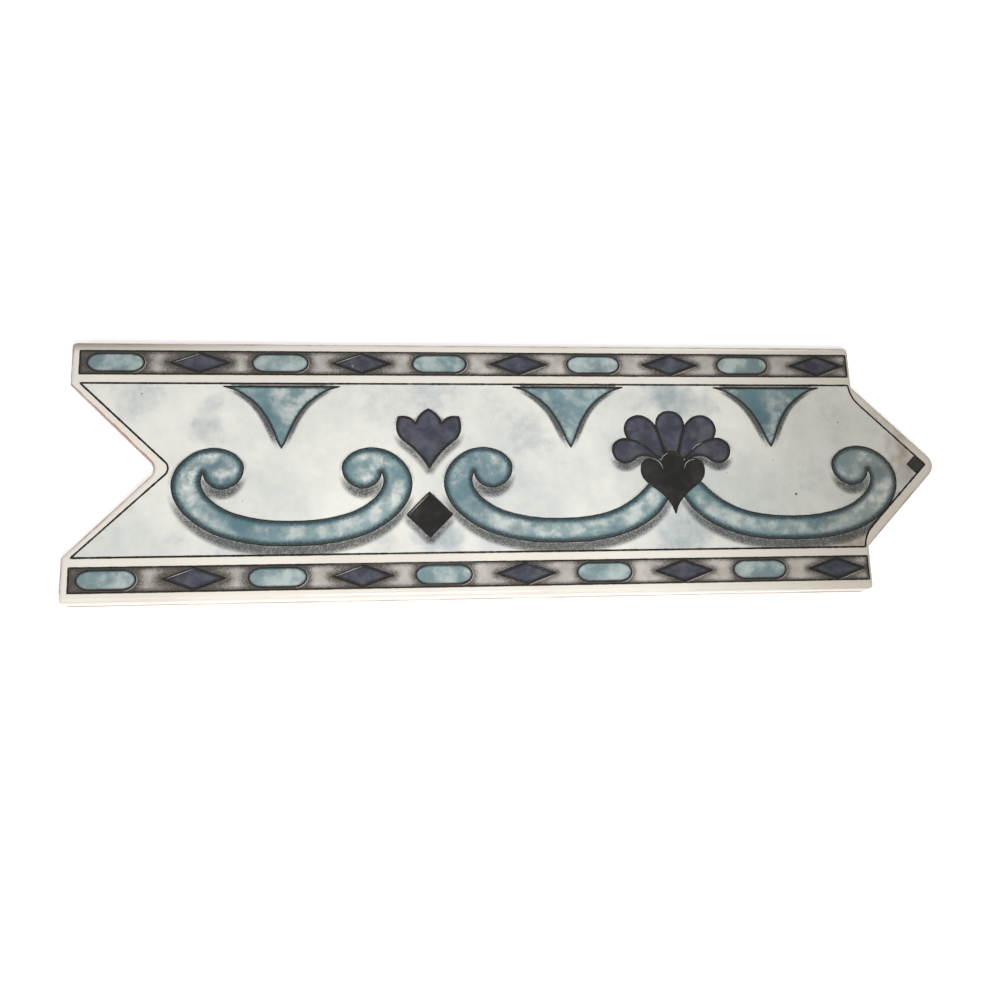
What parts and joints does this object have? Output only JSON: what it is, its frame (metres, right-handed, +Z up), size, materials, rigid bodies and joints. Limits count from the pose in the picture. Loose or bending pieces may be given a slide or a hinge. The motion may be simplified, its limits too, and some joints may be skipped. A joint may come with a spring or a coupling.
{
  "type": "border tile",
  "caption": "Flat glazed ceramic border tile with a V notch at one end and a matching point at the other, painted with blue-green scrolls between two beaded bands.",
  "frame": {"origin": "middle of the whole outline, on the plane of the back", "axes": "+X along the border towards the point, +Y across it, +Z up out of the glazed face"},
  "size_m": [0.22, 0.065, 0.007],
  "materials": {
    "glazed_tile": "gloss glaze on the face, bare fired clay at the sides and back"
  },
  "bodies": {
    "root": {"border_tile": "glazed_tile"}
  },
  "joints": []
}
